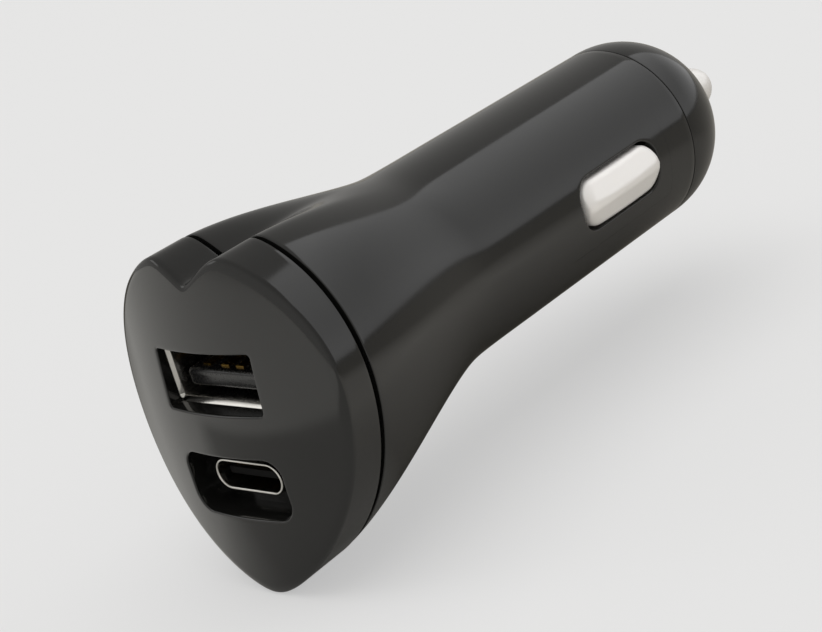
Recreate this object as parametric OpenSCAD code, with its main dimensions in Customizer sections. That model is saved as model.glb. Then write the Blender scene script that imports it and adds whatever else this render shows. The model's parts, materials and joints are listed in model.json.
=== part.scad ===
// Car charger plug with two ports
// The barrel lies along Y: the face looks towards -Y, the tip contact towards +Y, +Z is up.
// The origin is on the barrel's axis, where the straight barrel meets the flared head.

/* [Barrel] */
// Radius of the barrel that goes into the vehicle's socket
barrel_r = 10.4; // [10.2:0.05:10.6]
// Length of the straight, full-size stretch at the root of the barrel
register_l = 11; // [9:0.5:12]
// Length of the barrel from the head's root to the seam of the nose cap
barrel_l = 36.5; // [35:0.5:40]
// Radius that the barrel loses between the straight stretch and the nose cap
barrel_draft = 0.1; // [0.05:0.05:0.2]
// Wall of the barrel
barrel_wall = 1.6; // [1.4:0.1:2]

/* [Nose] */
// Width of the seam between the barrel and the nose cap
nose_seam = 0.25; // [0.2:0.05:0.4]
// Straight edge of the nose cap before its dome starts
nose_edge = 1; // [0.4:0.1:1.5]
// Radius of the flat land round the tip contact
nose_land_r = 4.8; // [4:0.2:5.5]
// Radius of the tip contact
tip_r = 2.6; // [2.4:0.1:2.8]
// How far the tip contact stands out of the nose cap
tip_out = 8; // [5:0.2:9]
// Travel of the tip contact into the nose cap
tip_travel = 2.5; // [2:0.5:4]
// Radius of the shoulder that keeps the tip contact in the nose cap
tip_shoulder_r = 3.9; // [3.6:0.1:4.3]

/* [Side contacts] */
// Height of the window in the barrel
window_h = 5.9; // [5.4:0.1:6.4]
// Length of the window in the barrel
window_l = 13.8; // [12:0.2:15]
// Corner radius of the window
window_r = 2.4; // [1.8:0.1:2.6]
// Distance of the window's centre from the nose cap's seam
window_set = 13.4; // [12.4:0.2:16]
// Play between a contact's pad and its window
window_gap = 0.35; // [0.3:0.05:0.5]
// How far a contact's pad stands out of the barrel
pad_out = 1; // [0.6:0.1:1.2]
// Tilt of a pad's two flanks away from its ridge
pad_tilt = 25; // [20:1:28]
// Thickness of the sprung strip
strip_t = 0.4; // [0.3:0.05:0.5]

/* [Head] */
// Length of the flare, from the barrel to the head's parting line
flare_l = 21.2; // [18:0.2:25]
// Radius of the round part of the head at the parting line
head_r = 14.4; // [13.8:0.1:15]
// Extra reach of the head's lower point
point_reach = 6; // [4:0.2:7]
// Angle over which the lower point runs out into the round part
point_spread = 91; // [75:1:95]
// How quickly the lower point runs out
point_power = 2.2; // [2:0.1:2.6]
// Rounding of the lower point, as an angle
point_round = 4.6; // [3:0.2:7]
// Radius at the floor of the groove along the top of the head
groove_r = 11.1; // [9.5:0.1:12]
// Rise of the groove's flanks for each degree away from its floor
groove_rise = 0.23; // [0.18:0.01:0.3]
// Rounding of the groove's floor, as an angle
groove_round = 4.6; // [3:0.2:6]
// Wall of the head's shells
head_wall = 1.8; // [1.5:0.1:2.2]
// Width of the parting line
parting = 0.45; // [0.3:0.05:0.5]
// Forward lean of the parting line towards the lower point, as a slope
parting_lean = 0.035; // [0:0.005:0.05]

/* [Front bezel] */
// Depth from the parting line to the face, on the barrel's axis
bezel_d = 7.1; // [6.6:0.1:8]
// Radius of the face's bow from side to side
bow_r = 33; // [30:1:45]
// Radius of the face's bow from top to bottom
bow_up_r = 110; // [90:5:200]
// Height of that bow's foremost line below the barrel's axis
bow_z = 2; // [0:0.5:5]
// Depth of the rounding along the face's edge
edge_d = 0.6; // [0.4:0.1:1]
// Width of that rounding
edge_w = 1.8; // [1.4:0.1:2.6]
// Forward lean of the lower point, as a slope
lean = 0.06; // [0:0.01:0.08]
// Depth of the lip that seats the bezel in the housing
lip_d = 2.6; // [2:0.2:4]
// Thickness of that lip
lip_t = 1; // [0.8:0.1:1.2]
// Play between the lip and the housing
lip_gap = 0.15; // [0.1:0.05:0.25]

/* [Ports] */
// Width of the large port's opening in the bezel
port_a_w = 12.6; // [12.4:0.1:13.4]
// Height of the large port's opening in the bezel
port_a_h = 5.8; // [5.4:0.1:6.2]
// Height of the large port's centre above the barrel's axis
port_a_z = 2.1; // [1.8:0.1:2.6]
// How far the large port's shell is set back from the face
port_a_set = 2.3; // [2:0.1:2.6]
// Width of the small port's pocket
pocket_w = 12.8; // [12:0.2:13.4]
// Height of the small port's pocket
pocket_h = 6.4; // [6:0.2:7]
// Depth of the small port's pocket
pocket_d = 3.3; // [2.8:0.1:3.5]
// Distance of the pocket's centre below the barrel's axis
pocket_z = 8.3; // [8:0.1:8.8]
// Distance of the small port's centre below the barrel's axis
port_c_z = 8.1; // [7.9:0.1:8.6]
// How far the small port's shell is set back from the face
port_c_set = 2; // [1.3:0.1:2.3]

/* [Circuit] */
// Gap between the edges of the main board and the barrel's bore
board_gap = 1; // [0.8:0.1:1.6]
// Thickness of the boards
board_t = 1.2; // [1:0.1:1.6]
// How far each edge of the main board is cut back beside a side contact
neck_cut = 2; // [1.8:0.1:2.6]
// Distance of the port board behind the parting line
port_board_set = 7.6; // [7:0.2:8.4]

/* [Hidden] */
$fn = 64;
black = "#2a2a28";
nickel = "#d8d8d6";
slack = 0.1;          // play of a sliding piece in its bore
seat = 0.02;          // gap between two pieces that rest on each other
lap = 0.05;           // overlap of two shapes that make one piece

// Places along the barrel's axis
flare_run_on = 2;   // the flare's curve levels out this far in front of the parting line
weld = 0.6;           // the flared shell runs this far into the barrel's wall
nose_y = barrel_l + nose_seam;
nose_r = barrel_r - barrel_draft;
dome_y = nose_y + nose_edge;
land_y = dome_y + sqrt(nose_r * nose_r - nose_land_r * nose_land_r);
tip_y = land_y + tip_out;
bore_r = barrel_r - barrel_wall;
window_y = barrel_l - window_set;
tip_terminal_y = nose_y - 1.4;
board_front = -flare_l + port_board_set;
face_y0 = -flare_l - bezel_d;

// Outline of the head, as a radius at an angle from the lower point
rim_half = concat([for (a = [0 : 3 : 24]) a], [for (a = [32 : 8 : 144]) a], [for (a = [150 : 3 : 180]) a]);
rim_n = len(rim_half);
rim = concat([for (a = rim_half) -a], [for (i = [rim_n - 2 : -1 : 1]) rim_half[i]]);
corner_blend = 0.35;  // softness of the ridges beside the groove, as a length

function soft_min(a, b, k) = a - k * ln(1 + exp((a - b) / k));
function point_share(a) =
    pow(max(0, 1 - sqrt(a * a + point_round * point_round) / point_spread), point_power);
function groove_floor(a) =
    let (off = 180 - a)
    groove_r + groove_rise * (sqrt(off * off + groove_round * groove_round) - groove_round);
function groove_depth(a) = max(0, head_r - soft_min(head_r, groove_floor(a), corner_blend));
function ease(t) = t * t * (3 - 2 * t);
function fade(y) = ease(max(0, min(1, -y / (flare_l + flare_run_on))));
function head_at(a, y) =
    let (w = fade(y))
    barrel_r + (head_r - barrel_r) * pow(w, round_fade)
    + point_reach * point_share(a) * pow(w, point_fade)
    - groove_depth(a) * pow(w, groove_fade);
round_fade = 0.62;   // how the round part, the point and the groove each run out along the flare
point_fade = 1.15;
groove_fade = 1.43;

// Rings of points round the head: each leans as the parting line does, less and less towards the barrel
function ring(y, inset) =
    [for (a = rim)
        let (r = head_at(abs(a), y) - inset, z = -r * cos(a))
        [r * sin(a), y + parting_lean * fade(y) * z, z]];
function disc_ring(y, r) = [for (a = rim) [r * sin(a), y, -r * cos(a)]];
function face_y(x, z) = face_y0 + x * x / (2 * bow_r) + (z + bow_z) * (z + bow_z) / (2 * bow_up_r) + lean * z;
function edge_drop(u) =
    let (t = max(0, 1 - (1 - u) * head_r / edge_w))
    edge_d * (1 - sqrt(1 - t * t));
// Ring on the face at a share u of the way out to its edge, moved back by depth
function face_ring(u, inset, depth) =
    [for (a = rim)
        let (r = (head_at(abs(a), face_y0) - inset) * u, x = r * sin(a), z = -r * cos(a))
        [x, face_y(x, z) + edge_drop(u) + depth, z]];

// Skin over rings of equal length: open ends are closed by a point, or the last ring joins the first
function band(i, j, n) =
    [for (k = [0 : n - 1])
        let (m = (k + 1) % n)
        each [[i * n + k, j * n + k, j * n + m], [i * n + k, j * n + m, i * n + m]]];
function cap(c, i, n, flip) =
    [for (k = [0 : n - 1])
        let (m = (k + 1) % n)
        flip ? [c, i * n + m, i * n + k] : [c, i * n + k, i * n + m]];

module closed_loop(rings) {
    n = len(rings[0]);
    count = len(rings);
    polyhedron(
        points = [for (r = rings) each r],
        faces = [for (i = [0 : count - 1]) each band(i, (i + 1) % count, n)],
        convexity = 8);
}

module closed_ends(rings, first, last) {
    n = len(rings[0]);
    count = len(rings);
    polyhedron(
        points = concat([for (r = rings) each r], [first, last]),
        faces = concat(
            cap(count * n, 0, n, false),
            [for (i = [0 : count - 2]) each band(i, i + 1, n)],
            cap(count * n + 1, count - 1, n, true)),
        convexity = 8);
}

// Round bar along Y from one place to another
module bar_y(r, from, to) {
    translate([0, from, 0]) rotate([-90, 0, 0]) cylinder(r = r, h = to - from);
}

module cone_y(r1, r2, from, to) {
    translate([0, from, 0]) rotate([-90, 0, 0]) cylinder(r1 = r1, r2 = r2, h = to - from);
}

// The shapes given and their mirror images across the middle
module both_sides() {
    children();
    mirror([1, 0, 0]) children();
}

// Box from one corner to the other
module box(low, high) {
    translate(low) cube(high - low);
}

// Rectangle with round corners
module round_rect(w, h, r) {
    square([w - 2 * r, h], center = true);
    square([w, h - 2 * r], center = true);
    for (x = [-1, 1], y = [-1, 1])
        translate([x * (w / 2 - r), y * (h / 2 - r)]) circle(r = r, $fn = 32);
}

// Prism along Y with a rounded rectangle as its section, centred at a height
module slot_y(w, h, r, z, from, to) {
    translate([0, to, z]) rotate([90, 0, 0]) linear_extrude(to - from) round_rect(w, h, r);
}

// Hollow prism along Y
module tube_y(w, h, r, t, z, from, to) {
    translate([0, to, z])
        rotate([90, 0, 0])
            linear_extrude(to - from)
                difference() {
                    round_rect(w, h, r);
                    round_rect(w - 2 * t, h - 2 * t, max(r - t, 0.05));
                }
}

// Flared shell of the head behind the parting line
flare_steps = 12;
inner_steps = 5;
front_edge = -flare_l + parting / 2;
function shell_inset(y) = head_wall + (barrel_wall - weld_in - head_wall) * (1 - fade(y));
weld_in = 0.1;        // the flared shell's end sits this far inside the barrel's wall

module flare_shell() {
    outer = [for (i = [0 : flare_steps]) ring(front_edge * (1 - i / flare_steps), weld_in * i / flare_steps)];
    ends = [disc_ring(weld, barrel_r - weld_in), disc_ring(weld, bore_r + weld_in)];
    inner = [for (i = [1 : inner_steps])
        let (y = front_edge * i / inner_steps)
        ring(y, shell_inset(y))];
    closed_loop(concat(outer, ends, inner));
}

module window_cut() {
    side_block(window_l, window_h, window_r, -2 * barrel_r, 2 * barrel_r);
}

// Solid block on the +X side with a rounded rectangle as its outline seen along X
module side_block(l, h, r, from, to) {
    translate([from, window_y, 0]) rotate([0, 90, 0]) linear_extrude(to - from) round_rect(h, l, r);
}

// Rests inside the housing, behind the port board
rest_l = 2;
rest_h = 2;
rest_under = 1.8;     // how far the rests reach behind the port board

module rests() {
    near = board_front + board_t + seat;
    far = near + rest_l;
    reach = head_at(90, far) - shell_inset(far) / 3;
    both_sides() box([port_board_r - rest_under, near, -rest_h / 2], [reach, far, rest_h / 2]);
}

module housing() {
    color(black) {
        difference() {
            union() {
                flare_shell();
                bar_y(barrel_r, 0, register_l);
                cone_y(barrel_r, nose_r, register_l, barrel_l);
            }
            bar_y(bore_r, -1, barrel_l + 1);
            window_cut();
        }
        rests();
    }
}

// Front bezel: one skin from the pole of the face, over the edge, round the lip and back to the inner pole
face_steps = [0.3, 0.55, 0.75, 0.86, 0.9, 0.935, 0.96, 0.98, 0.993, 1];
inner_face_steps = [1, 0.8, 0.4];
rear_edge = -flare_l - parting / 2;
lip_inset = head_wall + lip_gap;
lip_step = 1.6;       // the bezel's wall stays as thick as its lip for this far in front of the parting line

module bezel_skin() {
    outer = [for (u = face_steps) face_ring(u, 0, 0)];
    lip = [ring(rear_edge, 0), ring(rear_edge, lip_inset), ring(-flare_l + lip_d, lip_inset),
           ring(-flare_l + lip_d, lip_inset + lip_t), ring(rear_edge - lip_step / 2, lip_inset + lip_t),
           ring(rear_edge - lip_step, head_wall)];
    inner = [for (u = inner_face_steps) face_ring(u, head_wall, head_wall)];
    closed_ends(concat(outer, lip, inner), [0, face_y(0, 0), 0], [0, face_y(0, 0) + head_wall, 0]);
}

port_a_r = 0.4;       // corner radius of the large port's opening
pocket_floor = face_y(0, -port_c_z) + pocket_d;
pocket_r = 1.8;       // corner radius of the pocket
pocket_wall = 1.2;
hole_gap = 0.35;      // gap between the small port's shell and the hole in the pocket's floor
c_shell_w = 8.94;     // the small port's shell, to its standard
c_shell_h = 3.26;
c_shell_t = 0.3;
a_shell_w = 13.1;     // the large port's shell, to its standard
a_shell_h = 5.72;
a_shell_t = 0.3;
a_shell_r = 0.5;
shell_play = 0.1;     // play of the large port's shell in the seat behind its opening

post_t = 1.6;         // posts that press the port board against its rests
post_gap = 1;         // gap between the posts and the large port's shell
post_x = a_shell_w / 2 + post_gap + post_t / 2;

module front_bezel() {
    far_front = face_y0 - 5;
    color(black)
        difference() {
            union() {
                bezel_skin();
                slot_y(pocket_w + 2 * pocket_wall, pocket_h + 2 * pocket_wall, pocket_r + pocket_wall, -pocket_z,
                       face_y(0, -port_c_z) + head_wall * 0.6, pocket_floor + pocket_wall);
                for (x = [-post_x, post_x])
                    box([x - post_t / 2, face_y(post_x, 0) + head_wall / 2, -post_t],
                        [x + post_t / 2, board_front - seat, post_t]);
            }
            slot_y(port_a_w, port_a_h, port_a_r, port_a_z, far_front, a_front + 1);
            slot_y(a_shell_w + 2 * shell_play, a_shell_h + 2 * shell_play, a_shell_r + shell_play, port_a_z,
                   a_front - shell_play, board_front);
            slot_y(pocket_w, pocket_h, pocket_r, -pocket_z, far_front, pocket_floor);
            slot_y(c_shell_w + 2 * hole_gap, c_shell_h + 2 * hole_gap, c_shell_h / 2 + hole_gap - 0.01, -port_c_z,
                   far_front, pocket_floor + pocket_wall + 1);
        }
}

// Ports, carried by the port board
a_front = face_y(0, port_a_z) + port_a_set;
c_front = face_y(0, -port_c_z) + port_c_set;
a_body_l = 3;         // length of the solid root of the large port's tongue
a_tongue_w = 11.1;
a_tongue_t = 1.84;
a_tongue_drop = 0.95; // the tongue lies this far below the shell's middle
a_tongue_set = 0.6;   // the tongue's tip behind the shell's rim
contact_t = 0.15;

module usb_a_shell() {
    color(nickel)
        tube_y(a_shell_w, a_shell_h, a_shell_r, a_shell_t, port_a_z, a_front, board_front - seat);
}

module usb_a_tongue() {
    play = 0.02;
    z = port_a_z - a_tongue_drop;
    color("#3a3a3c") {
        slot_y(a_shell_w - 2 * a_shell_t - 2 * play, a_shell_h - 2 * a_shell_t - 2 * play, 0.2, port_a_z,
               board_front - a_body_l, board_front - seat);
        box([-a_tongue_w / 2, a_front + a_tongue_set, z - a_tongue_t / 2],
            [a_tongue_w / 2, board_front - a_body_l + lap, z + a_tongue_t / 2]);
    }
}

module usb_a_contacts() {
    z = port_a_z - a_tongue_drop + a_tongue_t / 2 + seat / 2;
    color("#d2ab54")
        for (x = [-3.5, -1, 1, 3.5])
            box([x - 0.5, a_front + a_tongue_set + 0.9, z], [x + 0.5, board_front - a_body_l - seat, z + contact_t]);
}

c_tongue_w = 6.69;
c_tongue_t = 0.7;
c_body_l = 2.5;

module usb_c_shell() {
    color(nickel)
        tube_y(c_shell_w, c_shell_h, c_shell_h / 2 - 0.01, c_shell_t, -port_c_z, c_front, board_front - seat);
}

module usb_c_tongue() {
    play = 0.02;
    inner_w = c_shell_w - 2 * c_shell_t - 2 * play;
    inner_h = c_shell_h - 2 * c_shell_t - 2 * play;
    color("#26262a") {
        slot_y(inner_w, inner_h, inner_h / 2 - 0.01, -port_c_z, board_front - c_body_l, board_front - seat);
        box([-c_tongue_w / 2, c_front + 0.9, -port_c_z - c_tongue_t / 2],
            [c_tongue_w / 2, board_front - c_body_l + lap, -port_c_z + c_tongue_t / 2]);
    }
}

module usb_c_contacts() {
    color("#d2ab54")
        for (i = [-5.5 : 1 : 5.5], side = [-1, 1])
            let (z = -port_c_z + side * (c_tongue_t / 2 + seat / 2 + 0.03))
            box([i * 0.5 - 0.12, c_front + 1.4, z - 0.03], [i * 0.5 + 0.12, board_front - c_body_l - seat, z + 0.03]);
}

// Boards
board_w = 2 * (bore_r - board_gap);
board_neck_w = board_w - 2 * neck_cut;
board_rear = tip_terminal_y - 0.1;
neck_y = 4;           // the board narrows here to leave room for the side contacts
foot_y = 1;

module main_board() {
    color("#1f5b3a") {
        box([-board_w / 2, board_front + board_t + seat, -board_t / 2], [board_w / 2, neck_y, board_t / 2]);
        box([-board_neck_w / 2, neck_y - lap, -board_t / 2], [board_neck_w / 2, board_rear, board_t / 2]);
    }
}

port_board_gap = 1.3; // gap between the port board and the flared shell beside it
port_board_r = head_at(90, board_front) - shell_inset(board_front) - port_board_gap;
port_board_top = 8.8; // the board's straight upper edge leaves room for the groove
port_foot = 1;        // how far the board reaches past the small port's shell
pin_pitch = 2;
pin_w = 0.64;
pin_z = board_t / 2 + 1;

module port_board() {
    foot_w = c_shell_w + 2 * port_foot;
    foot_h = port_c_z + c_shell_h / 2 + port_foot;
    color("#1f5b3a")
        translate([0, board_front + board_t, 0])
            rotate([90, 0, 0])
                linear_extrude(board_t)
                    difference() {
                        union() {
                            intersection() {
                                circle(r = port_board_r);
                                translate([-port_board_r, port_board_top - 2 * port_board_r])
                                    square(2 * port_board_r);
                            }
                            translate([-foot_w / 2, -port_c_z - c_shell_h / 2 - port_foot]) square([foot_w, foot_h]);
                        }
                        for (i = [-1.5 : 1.5])
                            translate([i * pin_pitch, pin_z]) square(pin_w + 0.2, center = true);
                    }
}

module board_pins() {
    base_l = 2;
    base_front = board_front + board_t + 0.1;
    color("#2b2b2d")
        box([-2 * pin_pitch, base_front, board_t / 2 + seat], [2 * pin_pitch, base_front + base_l, board_t / 2 + 2]);
    color(nickel)
        for (i = [-1.5 : 1.5])
            box([i * pin_pitch - pin_w / 2, board_front + 0.1, pin_z - pin_w / 2],
                [i * pin_pitch + pin_w / 2, base_front + base_l + 1, pin_z + pin_w / 2]);
}

// Nose cap and tip contact
spigot_l = 3.6;
spigot_t = 1.35;
spigot_r = bore_r - lap;
hollow_r = spigot_r - spigot_t;
hollow_y = nose_y + 1.6;
chamber_gap = 0.35;   // play of the tip contact's shoulder in the nose cap
chamber_r = tip_shoulder_r + chamber_gap;
stop_t = 2;           // wall of the nose cap round the tip contact
stop_y = land_y - stop_t;
shoulder_t = 1.2;
shoulder_y = stop_y - 0.1;
terminal_t = 0.6;
spring_r = 2.9;
spring_wire = 0.5;
spring_turns = 6;

// Half section of the nose cap: radius to the right, place along the barrel upwards
module nose_section() {
    difference() {
        union() {
            strip(spigot_r, nose_y - nose_seam - spigot_l, nose_y + lap);
            strip(nose_r, nose_y, dome_y + lap);
            intersection() {
                translate([0, dome_y]) circle(r = nose_r);
                strip(nose_r, dome_y, land_y);
            }
        }
        strip(hollow_r, nose_y - spigot_l - 1, hollow_y);
        strip(chamber_r, hollow_y - 1, stop_y);
        strip(tip_r + slack, stop_y - 1, land_y + 1);
    }
}

module strip(r, from, to) {
    translate([0, from]) square([r, to - from]);
}

module nose_cap() {
    color(black) rotate([-90, 0, 0]) rotate_extrude($fn = 96) nose_section();
}

module tip_contact() {
    color(nickel) {
        bar_y(tip_r, shoulder_y - shoulder_t, tip_y - tip_r);
        translate([0, tip_y - tip_r, 0]) sphere(r = tip_r);
        bar_y(tip_shoulder_r, shoulder_y - shoulder_t, shoulder_y);
        bar_y(spring_r - spring_wire / 2 - 0.35, shoulder_y - shoulder_t - 1.6, shoulder_y - shoulder_t + lap);
    }
}

module tip_spring() {
    from = tip_terminal_y + terminal_t + spring_wire / 2 + 0.05;
    to = shoulder_y - shoulder_t - spring_wire / 2 - 0.05;
    steps = 18 * spring_turns;
    sides = 6;
    rings = [for (i = [0 : steps])
        let (turn = 360 * spring_turns * i / steps, y = from + (to - from) * i / steps)
        [for (k = [0 : sides - 1])
            let (s = 360 * k / sides, r = spring_r + spring_wire / 2 * cos(s))
            [r * cos(turn), y + spring_wire / 2 * sin(s), r * sin(turn)]]];
    color("#b9b9b7")
        closed_ends(rings, [spring_r, from, 0], [spring_r * cos(360 * spring_turns), to, spring_r * sin(360 * spring_turns)]);
}

module tip_terminal() {
    color("#c9a24a") {
        bar_y(3.9, tip_terminal_y, tip_terminal_y + terminal_t);
        box([-1.8, tip_terminal_y - 4.5, board_t / 2 + seat], [1.8, tip_terminal_y + lap, board_t / 2 + seat + 0.4]);
    }
}

// Side contact on the +X side: a pad with a soft ridge in the window, and an arm to the board's edge
pad_l = window_l - 2 * window_gap;
pad_h = window_h - 2 * window_gap;
pad_top = barrel_r + pad_out;
pad_bow = 70;         // radius of the pad's bow along the barrel
ridge_r = 1.2;        // rounding of the pad's ridge
arm_h = 3;
arm_x = board_w / 2 + seat;

module pad_form(inset, from) {
    intersection() {
        side_block(pad_l - 2 * inset, pad_h - 2 * inset, window_r - window_gap - inset, from, pad_top + 1);
        pad_roof(pad_top - inset, ridge_r - inset);
        translate([pad_top - inset - pad_bow, window_y, 0])
            cylinder(r = pad_bow, h = 2 * window_h, center = true, $fn = 200);
    }
}

// Prism along the barrel under a ridge with two flanks
module pad_roof(top, r) {
    half = window_h / 2;
    ridge = [for (t = [-pad_tilt : pad_tilt / 4 : pad_tilt]) [top - r + r * cos(t), r * sin(t)]];
    foot_x = ridge[0][0] - (half + ridge[0][1]) * tan(pad_tilt);
    translate([0, window_y + window_l, 0])
        rotate([90, 0, 0])
            linear_extrude(2 * window_l)
                polygon(concat([[0, -half], [foot_x, -half]], ridge, [[foot_x, half], [0, half]]));
}

module side_contact() {
    difference() {
        union() {
            pad_form(0, arm_x);
            box([arm_x, foot_y, -arm_h / 2], [arm_x + strip_t, window_y - pad_l / 2 + strip_t, arm_h / 2]);
        }
        pad_form(strip_t, arm_x - 1);
    }
}

module side_contact_right() {
    color(nickel) side_contact();
}

module side_contact_left() {
    color(nickel) mirror([1, 0, 0]) side_contact();
}

// Parts of the converter, on the main board: places along the barrel, then sizes
top_z = board_t / 2 + seat;
under_z = -top_z;
coil_y = -4;
core_r = 4;
core_h = 6.4;
core_post_r = 2;
flange_t = 1;
coil_r = 3.6;
input_cap_y = 10;
input_cap_r = 3.15;
input_cap_l = 8;
output_cap_y = -10;
output_cap_r = 2.5;
output_cap_l = 6.6;
chip_y = 1;
chip_size = [4, 5, 1.5];
port_chip_y = -9;
port_chip_x = -5.1;
port_chip_size = [3, 3, 1.1];
diode_y = 10;
diode_size = [2.8, 4.4, 2.1];
small_size = [1.3, 2, 0.8];
small_edge = 1.3;     // distance of the small parts' row from the main board's edge
small_rows = [-8, -5.5, -3];
pair_size = [1.2, 2, 0.8];
pair_x = 4;
pair_y = 2;
end_size = [2, 1.25, 1];
end_rows = [20, 23.5];

module inductor_core() {
    color("#3c3c40")
        translate([0, coil_y, top_z]) {
            cylinder(r = core_r, h = flange_t);
            cylinder(r = core_post_r, h = core_h);
            translate([0, 0, core_h - flange_t]) cylinder(r = core_r, h = flange_t);
        }
}

module inductor_coil() {
    color("#b4622d")
        translate([0, coil_y, top_z + flange_t + seat])
            difference() {
                cylinder(r = coil_r, h = core_h - 2 * flange_t - 2 * seat);
                translate([0, 0, -1]) cylinder(r = core_post_r + seat, h = core_h);
            }
}

module input_capacitor() {
    color("#3a4a78") bar_y_at(input_cap_r, input_cap_y, input_cap_y + input_cap_l, top_z + input_cap_r);
}

module output_capacitor() {
    color("#3a4a78") bar_y_at(output_cap_r, output_cap_y, output_cap_y + output_cap_l, under_z - output_cap_r);
}

module bar_y_at(r, from, to, z) {
    translate([0, 0, z]) bar_y(r, from, to);
}

// Block on a board's upper or under side, centred at x, from a place along the barrel
module block_on(size, x, y) {
    translate([x - size[0] / 2, y, top_z]) cube(size);
}

module block_under(size, x, y) {
    translate([x - size[0] / 2, y, under_z - size[2]]) cube(size);
}

module converter_chip() {
    color("#232326") block_under(chip_size, 0, chip_y);
}

module port_chip() {
    color("#232326") block_under(port_chip_size, port_chip_x, port_chip_y);
}

module rectifier_diode() {
    color("#232326") block_under(diode_size, 0, diode_y);
}

module chip_parts() {
    color("#a88c64") {
        for (y = small_rows) block_under(small_size, board_w / 2 - small_edge - small_size[0] / 2, y);
        for (x = [-pair_x, pair_x]) block_on(pair_size, x, pair_y);
        for (y = end_rows) block_on(end_size, 0, y);
    }
}

housing();
front_bezel();
nose_cap();
tip_contact();
tip_spring();
tip_terminal();
side_contact_right();
side_contact_left();
main_board();
port_board();
board_pins();
usb_a_shell();
usb_a_tongue();
usb_a_contacts();
usb_c_shell();
usb_c_tongue();
usb_c_contacts();
inductor_core();
inductor_coil();
input_capacitor();
output_capacitor();
converter_chip();
port_chip();
rectifier_diode();
chip_parts();
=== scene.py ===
"""Dresses the car charger plug: smooth mouldings, plated contacts, working ports and plain studio light."""

import json
import logging
import math
from dataclasses import dataclass, field, replace
from enum import Enum

import bmesh
import bpy
import numpy as np
from mathutils import Matrix, Vector
from numpy.typing import NDArray

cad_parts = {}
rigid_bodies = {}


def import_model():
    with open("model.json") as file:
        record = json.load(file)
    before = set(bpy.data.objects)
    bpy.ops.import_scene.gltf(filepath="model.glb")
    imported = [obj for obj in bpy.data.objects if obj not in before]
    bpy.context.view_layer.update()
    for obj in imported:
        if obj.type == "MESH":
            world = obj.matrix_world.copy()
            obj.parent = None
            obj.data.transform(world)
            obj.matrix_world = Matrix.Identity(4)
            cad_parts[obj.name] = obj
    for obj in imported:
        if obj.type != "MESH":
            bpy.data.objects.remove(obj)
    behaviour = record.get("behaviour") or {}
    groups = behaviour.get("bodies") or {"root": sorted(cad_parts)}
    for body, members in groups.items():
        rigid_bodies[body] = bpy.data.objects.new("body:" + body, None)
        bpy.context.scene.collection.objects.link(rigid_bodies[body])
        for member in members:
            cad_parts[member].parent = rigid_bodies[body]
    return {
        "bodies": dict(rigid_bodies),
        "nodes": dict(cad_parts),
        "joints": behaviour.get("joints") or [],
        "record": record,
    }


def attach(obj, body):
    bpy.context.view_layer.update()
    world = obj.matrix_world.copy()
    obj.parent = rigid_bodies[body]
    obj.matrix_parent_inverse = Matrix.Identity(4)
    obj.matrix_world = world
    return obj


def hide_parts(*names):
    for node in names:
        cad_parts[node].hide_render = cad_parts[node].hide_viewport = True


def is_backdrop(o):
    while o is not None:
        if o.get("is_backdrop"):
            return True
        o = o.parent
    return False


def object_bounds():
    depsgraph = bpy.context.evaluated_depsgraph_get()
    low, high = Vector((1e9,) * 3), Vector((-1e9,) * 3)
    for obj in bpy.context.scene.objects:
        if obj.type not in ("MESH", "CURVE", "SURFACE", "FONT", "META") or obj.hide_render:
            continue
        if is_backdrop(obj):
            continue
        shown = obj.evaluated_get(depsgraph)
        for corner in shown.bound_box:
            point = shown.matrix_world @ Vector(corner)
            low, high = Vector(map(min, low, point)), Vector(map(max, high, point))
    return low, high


Array = NDArray[np.float64]
Frame = dict[str, object]
Pair = tuple[float, float]
Triple = tuple[float, float, float]
Socket = bpy.types.NodeSocket | float | tuple[float, ...]

LOG = logging.getLogger("charger_plug")
MM = 0.001  # metres in a millimetre: shapes are worked out in millimetres, as in part.scad
SHARP_ANGLE = math.radians(38)  # faces that meet at more than this keep a sharp edge
MERGE_MM = 2e-4  # points nearer to each other than this become one
IMAGE_WIDTH = 822  # the photograph's, in pixels
FLOOR_GAP = 0.0001  # how far under the head's point the floor lies, in metres


class Body(Enum):
    """The rigid bodies that the pieces ride on."""

    MAIN = "body"
    TIP = "tip"
    RIGHT_CONTACT = "right_contact"
    LEFT_CONTACT = "left_contact"


class Side(Enum):
    """Which side of the middle plane a piece stands on, as the sign of its x."""

    RIGHT = 1
    LEFT = -1


# Surfaces


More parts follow.
